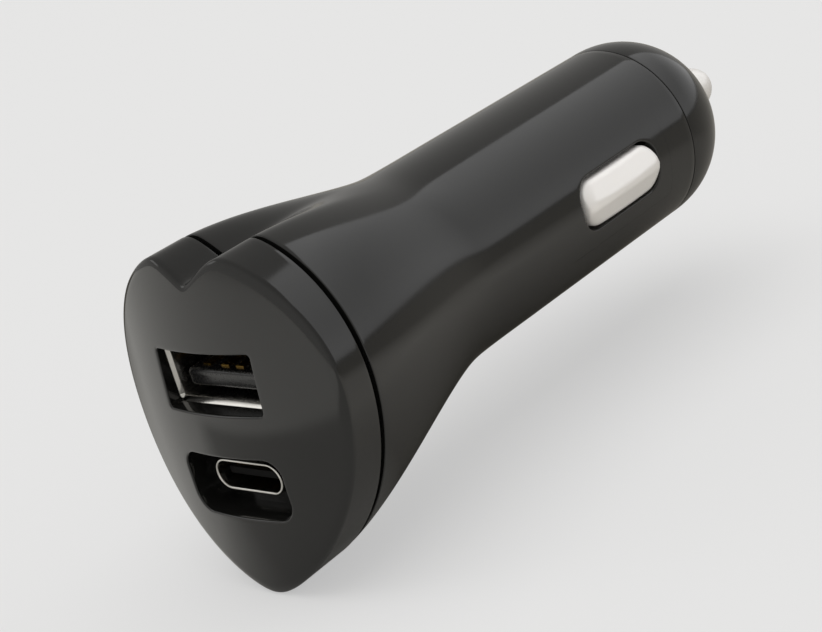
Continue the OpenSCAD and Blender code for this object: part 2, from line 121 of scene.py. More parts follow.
@dataclass
class Surface:
    """Gathers grids of points and makes them one closed mesh."""

    points: list[Array] = field(default_factory=list)
    quads: list[NDArray[np.int64]] = field(default_factory=list)
    count: int = 0

    def add(self, grid: Array, keep: NDArray[np.bool_] | None = None) -> None:
        """Adds the quads between neighbouring points of a grid whose last column joins its first.

        Args:
            grid: points of shape (rows, columns, 3), in millimetres.
            keep: one flag a quad, of shape (rows - 1, columns), False where it is left out.
        """
        rows, cols = grid.shape[:2]
        ids = np.arange(rows * cols).reshape(rows, cols) + self.count
        right = np.roll(ids, -1, axis=1)
        quads = np.stack([ids[:-1], ids[1:], right[1:], right[:-1]], axis=-1)
        self.quads.append(quads[keep] if keep is not None else quads.reshape(-1, 4))
        self.points.append(grid.reshape(-1, 3))
        self.count += rows * cols

    def build(self, name: str, body: Body) -> bpy.types.Object:
        """Makes the gathered grids one object whose faces point outwards.

        Args:
            name: the piece's name.
            body: the rigid body that it rides on.

        Returns:
            The new object, smooth but for its sharp edges.
        """
        mesh = bpy.data.meshes.new(name)
        mesh.from_pydata(np.concatenate(self.points) * MM, [], np.concatenate(self.quads).tolist())
        work = bmesh.new()
        work.from_mesh(mesh)
        bmesh.ops.remove_doubles(work, verts=work.verts, dist=MERGE_MM * MM)
        bmesh.ops.recalc_face_normals(work, faces=work.faces)
        work.to_mesh(mesh)
        work.free()
        mesh.shade_smooth()
        mesh.set_sharp_from_angle(angle=SHARP_ANGLE)
        piece = bpy.data.objects.new(name, mesh)
        bpy.context.collection.objects.link(piece)
        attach(piece, body.value)
        return piece


def one_piece(name: str, body: Body, *grids: Array) -> bpy.types.Object:
    """Makes whole grids one object on a body.

    Args:
        name: the piece's name.
        body: the rigid body that it rides on.
        grids: the points of each grid, as Surface.add takes them.

    Returns:
        The new object.
    """
    surface = Surface()
    for grid in grids:
        surface.add(grid)
    return surface.build(name, body)


def steps(*parts: tuple[float, float, int]) -> Array:
    """Joins even runs of numbers into one list without repeats.

    Args:
        parts: (from, to, number of steps) of each run.

    Returns:
        The numbers in order, both ends included.
    """
    runs = [np.linspace(a, b, n + 1)[:-1] for a, b, n in parts]
    return np.append(np.concatenate(runs), parts[-1][1])


def quarter(radius: float, count: int = 5) -> tuple[Array, Array]:
    """Quarter circle of an edge's rounding: how far it is inset, and how deep it starts.

    Args:
        radius: the rounding's radius.
        count: number of steps.

    Returns:
        (inset, depth): radius times 1 - sin t, and radius times 1 - cos t, for t from 0 to a quarter turn.
    """
    t = np.linspace(0, np.pi / 2, count + 1)
    return radius * (1 - np.sin(t)), radius * (1 - np.cos(t))


def polar(turn: Array, radius: Array, y: Array | float) -> Array:
    """Points at a radius, turned from straight down towards +X, each at its place y along the axis."""
    return np.stack([radius * np.sin(turn), y + 0 * turn, -radius * np.cos(turn)], axis=-1)


def upright(flat: Array, y: Array | float) -> Array:
    """Flat points (x, z), each set at its place y along the axis."""
    return np.stack([flat[..., 0], y + 0 * flat[..., 0], flat[..., 1]], axis=-1)


def turned(profile: Array, segments: int = 128) -> Array:
    """Surface of revolution about the barrel's axis.

    Args:
        profile: points (radius, y) of shape (n, 2).
        segments: number of columns.

    Returns:
        Grid of x = radius sin a, y, z = -radius cos a.
    """
    a = np.linspace(0, 2 * np.pi, segments, endpoint=False)
    return polar(a, profile[:, :1], profile[:, 1:])


@dataclass(frozen=True)
class Slot:
    """Rectangle with round corners in a plane of its own, such as an opening's outline."""

    width: float
    height: float
    corner: float
    centre: Pair = (0.0, 0.0)

    def around(self, points: Array, grow: float = 0.0) -> Array:
        """Outline points nearest to the given ones.

        Each point is pulled onto the inner rectangle on which the corner circles have their centres, and goes
        back out from there by the corner radius.

        Args:
            points: points outside the slot, of shape (n, 2).
            grow: how far outside the outline the result lies.

        Returns:
            One point for each given one.
        """
        middle = np.array(self.centre)
        reach = np.array([self.width, self.height]) / 2 - self.corner
        core = np.clip(points - middle, -reach, reach) + middle
        away = points - core
        away /= np.linalg.norm(away, axis=-1, keepdims=True)
        return core + (self.corner + grow) * away

    def outline(self, count: int = 96, grow: float = 0.0) -> Array:
        """Outline as seen from evenly turned directions.

        Args:
            count: number of points.
            grow: how far outside the outline they lie.

        Returns:
            Points of shape (count, 2).
        """
        a = np.linspace(0, 2 * np.pi, count, endpoint=False)
        far = np.stack([np.sin(a), -np.cos(a)], axis=-1) * (self.width + self.height)
        box = np.array([self.width, self.height])
        return self.around(np.clip(far, -box, box) + np.array(self.centre), grow)

    def mirrored(self, side: Side) -> "Slot":
        """The same outline on a side of the middle plane."""
        return replace(self, centre=(side.value * self.centre[0], self.centre[1]))

    def grown(self, by: float) -> "Slot":
        """The outline that runs round this one at a distance."""
        return replace(self, width=self.width + 2 * by, height=self.height + 2 * by, corner=self.corner + by)


def lofted(sections: list[tuple[Slot, float, float]], count: int = 96) -> Array:
    """Carries a rounded outline along the barrel's axis.

    Args:
        sections: (outline in the plane of x and z, how far outside it, place along the axis) of each ring.
        count: number of columns.

    Returns:
        Grid of points, one row a ring.
    """
    flat = np.stack([slot.outline(count, grow) for slot, grow, _ in sections])
    places = np.array([place for _, _, place in sections])
    return upright(flat, places[:, None])


def capped(grid: Array) -> Array:
    """Closes both ends of a grid by the middle of its first and its last ring."""
    first, last = (np.broadcast_to(row.mean(axis=0), row.shape)[None] for row in (grid[0], grid[-1]))
    return np.concatenate([first, grid, last])


def rounded_bar(slot: Slot, low: float, high: float, edge: float, count: int = 48) -> Array:
    """Closed bar along the axis whose two ends have their edges rounded.

    Args:
        slot: section of the bar.
        low: where it starts.
        high: where it ends.
        edge: radius of the end edges.
        count: number of columns.

    Returns:
        Grid of points.
    """
    inset, depth = quarter(edge, 3)
    front = [(slot, -i, low + d) for i, d in zip(inset, depth)]
    back = [(slot, -i, high - d) for i, d in zip(inset[::-1], depth[::-1])]
    return capped(lofted(front + back, count))


@dataclass(frozen=True)
class HeadForm:
    """The flared head and its bowed face, by the same formulas as in part.scad."""

    barrel_r: float
    flare_l: float = 21.2
    head_r: float = 14.4
    point_reach: float = 6.0
    point_spread: float = 91.0
    point_power: float = 2.2
    point_round: float = 4.6
    groove_r: float = 11.35
    groove_rise: float = 0.23
    groove_round: float = 4.6
    corner_blend: float = 0.35
    run_on: float = 2.0
    round_fade: float = 0.62
    point_fade: float = 1.15
    groove_fade: float = 1.43
    parting_lean: float = 0.035
    bezel_d: float = 7.1
    bow_r: float = 33.0
    bow_up_r: float = 110.0
    bow_z: float = 2.0
    lean: float = 0.06
    edge_d: float = 0.35
    edge_w: float = 0.8
    soft_start: float = 2.6
    columns: int = 288
    crowding: float = 11.0

    @property
    def face_y0(self) -> float:
        """Place of the face on the barrel's axis, before its bow and lean."""
        return -self.flare_l - self.bezel_d

    def angles(self) -> Array:
        """Angles of the columns from the lower point, in degrees, crowded at the point and at the groove.

        An even turn t has a sine wave taken from it: 360 t - crowding times sin(4 pi t).
        """
        t = np.arange(self.columns) / self.columns
        return 360 * t - self.crowding * np.sin(4 * np.pi * t)

    def fade(self, y: Array) -> Array:
        """Smooth step from 0 at the barrel to 1 just in front of the parting line.

        The place y is first rounded off where it passes 0, as half of -y plus the length of (y, soft start),
        so that the flare grows out of the barrel without an edge.

        Args:
            y: places along the barrel's axis.

        Returns:
            The step at each place.
        """
        y = np.asarray(y, float)
        t = np.clip((np.hypot(y, self.soft_start) - y) / 2 / (self.flare_l + self.run_on), 0, 1)
        return t * t * (3 - 2 * t)

    def radius(self, angle: Array, y: Array) -> Array:
        """Radius of the head at an angle from the lower point and a place along the barrel.

        The round part, the point and the groove each fade in as a power of a smooth step along the flare. The
        point is a power of the angle's distance to its spread, the groove is a slope up from its floor, and a
        soft minimum rounds the ridges beside the groove.

        Args:
            angle: angles from the lower point, in degrees.
            y: places along the barrel's axis.

        Returns:
            The radius at each of them.
        """
        off = np.abs((angle + 180) % 360 - 180)
        share = np.maximum(0, 1 - np.hypot(off, self.point_round) / self.point_spread) ** self.point_power
        slope = np.hypot(180 - off, self.groove_round) - self.groove_round
        floor = self.groove_r + self.groove_rise * slope
        soft = self.head_r - self.corner_blend * np.logaddexp(0, (self.head_r - floor) / self.corner_blend)
        depth = np.maximum(0, self.head_r - soft)
        w = self.fade(y)
        swell = (self.head_r - self.barrel_r) * w**self.round_fade
        point = self.point_reach * share * w**self.point_fade
        return self.barrel_r + swell + point - depth * w**self.groove_fade

    def ring(self, y: Array, inset: Array) -> Array:
        """Rings of the head that lean as the parting line does.

        Args:
            y: place of each ring along the barrel's axis.
            inset: how far inside the head's skin each ring lies.

        Returns:
            Grid of points, one row a ring.
        """
        a = self.angles()
        y = np.asarray(y, float)[:, None]
        r = self.radius(a, y) - np.asarray(inset, float)[:, None]
        grid = polar(np.radians(a), r, y)
        grid[..., 1] += self.parting_lean * self.fade(y) * grid[..., 2]
        return grid

    def face_y(self, x: Array, z: Array) -> Array:
        """Place of the face: two bows, one across and one up, and a forward lean of the lower point."""
        bows = x * x / (2 * self.bow_r) + (z + self.bow_z) ** 2 / (2 * self.bow_up_r)
        return self.face_y0 + bows + self.lean * z

    def face_at(self, slot: Slot) -> float:
        """Place of the face at the level of an opening's middle."""
        return float(self.face_y(0.0, slot.centre[1]))

    def share(self, x: Array, z: Array) -> Array:
        """How far out towards the outline a point of the face lies, from 0 to 1."""
        angle = np.degrees(np.arctan2(x, -z))
        return np.hypot(x, z) / self.radius(angle, np.full_like(angle, self.face_y0))

    def edge_drop(self, u: Array) -> Array:
        """Rounding of the face's edge: a quarter ellipse over the last stretch of the share u."""
        t = np.clip(1 - (1 - u) * self.head_r / self.edge_w, 0, 1)
        return self.edge_d * (1 - np.sqrt(1 - t * t))

    def on_face(self, flat: Array, depth: float = 0.0) -> Array:
        """Points (x, z) laid on the face, or a depth behind it."""
        x, z = flat[..., 0], flat[..., 1]
        return upright(flat, self.face_y(x, z) + self.edge_drop(self.share(x, z)) + depth)

    def rim(self, u: float) -> Array:
        """Outline of the face, drawn in towards the barrel's axis.

        Args:
            u: share of the way out to the outline.

        Returns:
            Flat points (x, z), one a column.
        """
        a = self.angles()
        r = self.radius(a, np.full_like(a, self.face_y0)) * u
        return polar(np.radians(a), r, 0.0)[:, [0, 2]]


def between(first: Array, last: Array, shares: Array) -> Array:
    """Rows of points that go straight from one row to another, one row for each share."""
    return first + (last - first) * shares[:, None, None]


# Materials


def linear(code: str) -> tuple[float, float, float, float]:
    """Turns an sRGB colour to linear light.

    Args:
        code: the colour in hex, such as #2a2a28.

    Returns:
        Linear red, green, blue and alpha.
    """
    parts = [int(code[i : i + 2], 16) / 255 for i in (1, 3, 5)]
    low, bend = 0.04045, 2.4
    return (*(p / 12.92 if p <= low else ((p + 0.055) / 1.055) ** bend for p in parts), 1.0)


def pick(sockets: bpy.types.bpy_prop_collection, key: str) -> bpy.types.NodeSocket:
    """Finds a socket by its identifier, or by its name with underscores for spaces."""
    return next(s for s in sockets if key in (s.identifier, s.name.replace(" ", "_")))


class Nodes:
    """A node tree under construction."""

    def __init__(self, tree: bpy.types.NodeTree) -> None:
        """Takes the tree to build in."""
        self.tree = tree

    def node(self, kind: str, settings: dict[str, object] | None = None, **inputs: Socket) -> bpy.types.Node:
        """Adds one node.

        Args:
            kind: the node's type.
            settings: its attributes.
            inputs: its sockets by identifier or name, each a value or another node's output.

        Returns:
            The node.
        """
        made = self.tree.nodes.new(kind)
        for key, value in (settings or {}).items():
            setattr(made, key, value)
        for key, value in inputs.items():
            self.feed(pick(made.inputs, key), value)
        return made

    def feed(self, socket: bpy.types.NodeSocket, value: Socket) -> None:
        """Links a socket to an output or sets its value."""
        if isinstance(value, bpy.types.NodeSocket):
            self.tree.links.new(value, socket)
        else:
            socket.default_value = value

    def blend(self, share: Socket, low: Socket, high: Socket) -> bpy.types.NodeSocket:
        """Colour between two colours.

        Args:
            share: how far from the first towards the second.
            low: the first colour.
            high: the second colour.

        Returns:
            The output that gives it.
        """
        colour = {"data_type": "RGBA"}
        made = self.node("ShaderNodeMix", colour, Factor_Float=share, A_Color=low, B_Color=high)
        return pick(made.outputs, "Result_Color")

    def product(self, first: Socket, second: Socket) -> bpy.types.NodeSocket:
        """Two numbers multiplied."""
        made = self.node("ShaderNodeMath", {"operation": "MULTIPLY"}, Value=first, Value_001=second)
        return made.outputs["Value"]

    def remap(self, value: Socket, start: Pair, end: Pair) -> bpy.types.NodeSocket:
        """Maps a number along a straight line through two pairs (number, result), level beyond them."""
        limits = {"From_Min": start[0], "From_Max": end[0], "To_Min": start[1], "To_Max": end[1]}
        return self.node("ShaderNodeMapRange", Value=value, **limits).outputs["Result"]


class Shader(Nodes):
    """A material under construction: its node tree and the Principled shader at its end."""

    def __init__(self, name: str) -> None:
        """Makes the material with its Principled shader."""
        self.material = bpy.data.materials.new(name)
        self.material.use_nodes = True
        super().__init__(self.material.node_tree)
        self.end = self.tree.nodes["Principled BSDF"]
        self.place = self.node("ShaderNodeTexCoord").outputs["Object"]

    def principled(self, **inputs: Socket) -> None:
        """Sets or links sockets of the Principled shader, underscores for spaces."""
        for key, value in inputs.items():
            self.feed(pick(self.end.inputs, key), value)

    def noise(
        self, size_mm: float, detail: float = 3.0, rough: float = 0.5, **more: Socket
    ) -> bpy.types.NodeSocket:
        """Noise on Object coordinates whose features are about size_mm across."""
        inputs = {"Vector": self.place, "Scale": 1 / (size_mm * MM), "Detail": detail, "Roughness": rough}
        return self.node("ShaderNodeTexNoise", **{**inputs, **more}).outputs["Fac"]

    def spread(self, value: bpy.types.NodeSocket, low: float, high: float) -> bpy.types.NodeSocket:
        """Maps a noise from its usual span, 0.3 to 0.7, to the range low to high."""
        return self.remap(value, (0.3, low), (0.7, high))

    def bump(self, height: bpy.types.NodeSocket, depth_mm: float) -> None:
        """Raises the surface by a pattern, depth_mm from its lowest to its highest."""
        made = self.node("ShaderNodeBump", Height=height, Strength=1.0, Distance=depth_mm * MM)
        self.principled(Normal=made.outputs["Normal"])

    def ramp(self, turn: float, edge_mm: float, soft_mm: float) -> bpy.types.NodeSocket:
        """Share that rises from 0 to 1 across a straight soft edge on the floor.

        Args:
            turn: angle of the rising direction from +X towards -Y, in degrees.
            edge_mm: distance of the edge from the origin along that direction.
            soft_mm: width of the rise.

        Returns:
            The share.
        """
        scale = 1 / (soft_mm * MM)
        turned_to = self.node(
            "ShaderNodeMapping",
            Vector=self.place,
            Scale=(scale, scale, 1.0),
            Rotation=(0.0, 0.0, math.radians(turn)),
            Location=(0.5 - edge_mm / soft_mm, 0.0, 0.0),
        )
        return self.node("ShaderNodeTexGradient", Vector=turned_to.outputs["Vector"]).outputs["Fac"]


@dataclass(frozen=True)
class PolishedAbs:
    """Black ABS from a polished mould: deep gloss with faint sink waves and smears where hands wiped it."""

    name: str = "polished black ABS"
    dark: str = "#131312"
    pale: str = "#181817"
    cloud_mm: float = 0.8
    wave_mm: float = 6.0
    wave_depth_mm: float = 0.003
    smear_mm: float = 9.0
    roughness: Pair = (0.07, 0.14)
    ior: float = 1.53

    def make(self) -> bpy.types.Material:
        """Builds the finish.

        Returns:
            Its material.
        """
        s = Shader(self.name)
        s.principled(
            Base_Color=s.blend(s.noise(self.cloud_mm), linear(self.dark), linear(self.pale)),
            Roughness=s.spread(s.noise(self.smear_mm, detail=5, rough=0.6), *self.roughness),
            IOR=self.ior,
        )
        s.bump(s.noise(self.wave_mm, detail=1), self.wave_depth_mm)
        return s.material


@dataclass(frozen=True)
class Plated:
    """Bare or plated metal, stamped or drawn: a sheen that fine rubbing marks draw out across them."""

    name: str = "bright nickel plating"
    dark: str = "#fbf8f5"
    pale: str = "#fffdfb"
    roughness: Pair = (0.3, 0.4)
    mark_mm: float = 0.12
    mark_depth_mm: float = 0.0006
    mark_stretch: float = 0.06
    cloud_mm: float = 2.5
    metal: float = 1.0

    def make(self) -> bpy.types.Material:
        """Builds the finish.

        Returns:
            Its material.
        """
        s = Shader(self.name)
        along = s.node("ShaderNodeMapping", Vector=s.place, Scale=(1.0, self.mark_stretch, 1.0))
        marks = s.noise(self.mark_mm, detail=2, Vector=along.outputs["Vector"])
        s.principled(
            Base_Color=s.blend(s.noise(self.cloud_mm), linear(self.dark), linear(self.pale)),
            Metallic=self.metal,
            Roughness=s.spread(marks, *self.roughness),
        )
        s.bump(marks, self.mark_depth_mm)
        return s.material


@dataclass(frozen=True)
class Moulded:
    """Matt moulded or coated stuff with a fine grain, such as a port's insulator or a board's mask."""

    name: str
    dark: str
    pale: str
    roughness: Pair = (0.42, 0.6)
    grain_mm: float = 0.25
    grain_depth_mm: float = 0.004
    cloud_share: float = 6.0
    ior: float = 1.5
    gloss: float = 0.5

    def make(self) -> bpy.types.Material:
        """Builds the finish.

        Returns:
            Its material.
        """
        s = Shader(self.name)
        grain = s.noise(self.grain_mm, detail=2)
        cloud = s.noise(self.grain_mm * self.cloud_share)
        s.principled(
            Base_Color=s.blend(cloud, linear(self.dark), linear(self.pale)),
            Roughness=s.spread(grain, *self.roughness),
            IOR=self.ior,
            Specular_IOR_Level=self.gloss,
        )
        s.bump(grain, self.grain_depth_mm)
        return s.material


FINISHES = {
    # deep black that mirrors the room
    "gloss_black": PolishedAbs(),
    # milky bright metal: a satin haze, so less metallic than clear plating
    "nickel_plate": Plated(metal=0.35),
    # dull grey wire
    "spring_wire": Plated("drawn spring steel", "#8d8c88", "#a9a7a2", (0.25, 0.4)),
    # warm yellow strip
    "brass_strip": Plated("stamped brass strip", "#a8843f", "#c6a35a", (0.22, 0.35)),
    # cool bright sheet with a clear gleam
    "steel_shell": Plated("drawn steel shell, tin plated", "#bcbab5", "#d6d4cf", (0.12, 0.2)),
    # small warm glints
    "gold_plate": Plated("gold flashed contact", "#c79b45", "#e0b964", (0.15, 0.25)),
    # red-brown ribs of wound wire
    "copper_wire": Plated("enamelled copper winding", "#8a4a24", "#b56a38", (0.25, 0.4), 0.3, 0.02),
    # dark green with a low sheen
    "board_green": Moulded("glass-fibre board under green mask", "#0e3a22", "#16492c", (0.25, 0.4)),
    # soft near-black
    "port_plastic": Moulded("glass-filled nylon insulator", "#101011", "#1a1a1b"),
    # near-black with a grey gleam on its front
    "tongue": Moulded("polished black nylon tongue", "#121213", "#1a1a1b", (0.2, 0.3)),
    # darker, duller copy of the tongue's nylon: painted shade on the small port's tongue deep in its recess
    "deep_tongue": Moulded("black nylon deep in a port", "#070707", "#0c0c0c", (0.6, 0.7), gloss=0.1),
    # dull dark grey, grainy as fired powder
    "ferrite": Moulded("sintered ferrite", "#2b2b2e", "#3a3a3d", (0.5, 0.7), 0.4, 0.01),
    # dark blue film with a soft gleam
    "capacitor_sleeve": Moulded("shrunk sleeve", "#1d2a52", "#26356a", (0.2, 0.35)),
    # matt black block
    "chip_plastic": Moulded("moulded chip package", "#151516", "#202022"),
    # tan and matt
    "chip_ceramic": Moulded("fired chip ceramic", "#8a7352", "#a48c68"),
}
# the small port's tongue gets the darker copy of the nylon: painted shade
NODE_FINISHES = {"usb_c_tongue": "deep_tongue"}  # nodes whose finish isn't their slot's own


class Finishes:
    """Makes each finish once and hands it out by name."""

    def __init__(self) -> None:
        """Starts with nothing made."""
        self.made: dict[str, bpy.types.Material] = {}

    def material(self, finish: str) -> bpy.types.Material:
        """Hands out a finish, which is made when it is first asked for.

        Args:
            finish: its name in FINISHES.

        Returns:
            Its material.
        """
        if finish not in self.made:
            self.made[finish] = FINISHES[finish].make()
        return self.made[finish]

    def dress(self, piece: bpy.types.Object, slot: str, finish: str | None = None) -> None:
        """Gives a new piece the finish of a slot of the record, or another finish."""
        piece.data.materials.append(self.material(finish or slot))

    def carry_over(self, frame: Frame) -> None:
        """Gives every CAD node the better material of its slot.
        """
        slots = {p["node"]: p["material_slot"] for p in frame["record"]["subparts"]}
        for name, node in frame["nodes"].items():
            for holder in node.material_slots:
                holder.material = self.material(NODE_FINISHES.get(name, slots[name]))


# Sub-assemblies


@dataclass
class Housing:
    """The barrel and the flare behind the parting line, one black moulding with a window on each side."""

    form: HeadForm
    register_l: float
    barrel_l: float = 36.5
    draft: float = 0.1
    wall: float = 1.6
    head_wall: float = 1.8
    parting: float = 0.56
    parting_round: float = 0.12
    seam_round: float = 0.05
    window: Slot = Slot(5.9, 13.8, 2.4, (0.0, 23.1))
    window_margin: float = 2.0
    window_round: float = 0.2
    window_columns: int = 16
    patch_rows: int = 36
    root_y: float = 4.0
    rest: Slot = Slot(3.4, 2.0, 0.2, (10.3, 0.0))
    rest_y: Pair = (-12.38, -10.38)

    def drop(self, y: Array) -> Array:
        """How much smaller the barrel is at y, because of its draft behind the straight stretch."""
        return self.draft * np.clip((y - self.register_l) / (self.barrel_l - self.register_l), 0, 1)

    def build(self) -> bpy.types.Object:
        """Builds two skins, joined at both ends and round the windows, and the rests of the board.

        The outer skin's rows lie close together up to root_y, where the flare has run out.

        Returns:
            The new piece.
        """
        form = self.form
        surface = Surface()
        front, back = -form.flare_l + self.parting / 2, self.barrel_l
        half = self.window.height / 2 + self.window_margin
        low, high = self.window.centre[1] - half, self.window.centre[1] + half
        patch = (low, high, self.patch_rows)
        inset, depth = quarter(self.parting_round)
        small, shallow = quarter(self.seam_round, 3)
        flare = (front + self.parting_round, self.root_y, 68)
        nose = (high, back - self.seam_round, 6)
        straight = steps(flare, (self.root_y, low, 12), patch, nose)
        outer_y = np.concatenate([front + depth, straight[1:], (back - shallow[::-1])[1:]])
        outer_in = np.zeros_like(outer_y)
        outer_in[: len(inset)] = inset
        outer_in[-len(small) :] = small[::-1]
        inner_y = steps((front, 0.0, 12), (0.0, low, 4), patch, (high, back, 2))
        inner_in = np.interp(inner_y, [front, 0.0], [self.head_wall, self.wall])
        outer = form.ring(outer_y, outer_in + self.drop(outer_y))
        inner = form.ring(inner_y, inner_in)
        for grid, rows in ((outer, outer_y), (inner, inner_y)):
            surface.add(grid, keep=self.window_mask(rows, low, high))
        surface.add(np.stack([outer[0], inner[0]]))
        surface.add(np.stack([outer[-1], inner[-1]]))
        for side in Side:
            self.window_edge(surface, np.linspace(low, high, self.patch_rows + 1), side)
            surface.add(rounded_bar(self.rest.mirrored(side), *self.rest_y, self.rest.corner / 2))
        return surface.build("housing_moulding", Body.MAIN)

    def window_mask(self, rows: Array, low: float, high: float) -> NDArray[np.bool_]:
        """Flags of the quads that stay: all but those in the patch round each window.

        Args:
            rows: places of the grid's rows.
            low: where the patches start.
            high: where they end.

        Returns:
            One flag a quad, of shape (rows - 1, columns).
        """
        cols = np.arange(self.form.columns)
        near = np.zeros(len(cols), bool)
        for side in Side:
            near |= np.abs(cols + 0.5 - self.middle(side)) < self.window_columns
        mid = (rows[:-1] + rows[1:]) / 2
        inside = (mid > low) & (mid < high)
        return ~(inside[:, None] & near[None, :])

    def middle(self, side: Side) -> int:
        """Column in the middle of a side's window."""
        return self.form.columns // 4 * (1 if side is Side.RIGHT else 3)

    def window_edge(self, surface: Surface, rows: Array, side: Side) -> None:
        """Fills the patch round a window, on both skins, and adds the window's rounded edge and its walls.

        In the plane of arc length and y, each point of the patch's border is joined straight to the nearest
        point of the window's outline, so no two of these lines cross.

        Args:
            surface: the housing's surface.
            rows: places of the patch's rows.
            side: the side of the barrel.
        """
        middle = self.middle(side)
        picked = self.form.angles()[middle - self.window_columns : middle + self.window_columns + 1]
        scale = math.radians(1) * self.form.barrel_r
        arc = (picked - picked[self.window_columns]) * scale
        border = np.concatenate([
            np.stack([arc[:-1], np.full(len(arc) - 1, rows[0])], axis=-1),
            np.stack([np.full(len(rows) - 1, arc[-1]), rows[:-1]], axis=-1),
            np.stack([arc[:0:-1], np.full(len(arc) - 1, rows[-1])], axis=-1),
            np.stack([np.full(len(rows) - 1, arc[0]), rows[:0:-1]], axis=-1),
        ])

        def lift(points: Array, inset: Array | float) -> Array:
            """Wraps flat points onto the barrel, inset from its skin."""
            turn = np.radians(picked[self.window_columns] + points[..., 0] / scale)
            r = self.form.barrel_r - inset
            return polar(turn, r, points[..., 1])

        shares = steps((0.0, 0.3, 3), (0.3, 1.0, 4))
        skin = between(self.window.around(border, self.window_round), border, shares)
        surface.add(lift(skin, self.drop(skin[..., 1])))
        inset, depth = quarter(self.window_round)
        edge = np.stack([self.window.around(border, grow) for grow in np.append(inset, 0.0)])
        down = np.append(depth, self.wall)[:, None]
        surface.add(lift(edge, down + self.drop(edge[..., 1]) * (down < self.wall)))
        surface.add(lift(between(edge[-1], border, shares[::2]), self.wall))


@dataclass
class NoseCap:
    """The domed cap at the end of the barrel, turned about the barrel's axis."""

    radius: float
    start: float
    seam: float = 0.12
    edge: float = 1.13
    edge_round: float = 0.05
    land_r: float = 4.8
    land_edge: Pair = (0.12, 0.02)
    land_flat: float = 0.5
    land_round: float = 0.15
    dome_stop: float = 0.03
    hole_r: float = 2.7
    stop_t: float = 2.0
    chamber_r: float = 4.25
    hollow_r: float = 7.4
    hollow_l: float = 1.6
    spigot_r: float = 8.75
    spigot_l: float = 3.6

    @property
    def land_y(self) -> float:
        """Place of the flat land round the tip contact."""
        return self.start + self.edge + math.sqrt(self.radius**2 - self.land_r**2)

    def build(self) -> bpy.types.Object:
        """Builds the cap from one profile: spigot, edge rounding, dome, land, bore and chamber.

        Returns:
            The new piece.
        """
        start, dome, land = self.start, self.start + self.edge, self.land_y
        inset, depth = quarter(self.edge_round, 4)
        turn = np.linspace(np.pi / 2, math.asin(self.land_r / self.radius) + self.dome_stop, 48)
        lip, drop = quarter(self.land_round, 4)
        root = start - self.seam - self.spigot_l
        profile = [
            (self.spigot_r, start),
            *zip(self.radius - inset, start + depth),
            *zip(self.radius * np.sin(turn), dome + self.radius * np.cos(turn)),
            (self.land_r - self.land_edge[0], land - self.land_edge[1]),
            (self.land_r - self.land_flat, land),
            *zip(self.hole_r + self.land_round - lip[::-1], land - drop),
            (self.hole_r, land - self.stop_t),
            (self.chamber_r, land - self.stop_t),
            (self.chamber_r, start + self.hollow_l),
            (self.hollow_r, start + self.hollow_l),
            (self.hollow_r, root),
            (self.spigot_r, root),
            (self.spigot_r, start),
        ]
        return one_piece("nose_cap_moulding", Body.MAIN, turned(np.array(profile), 192))


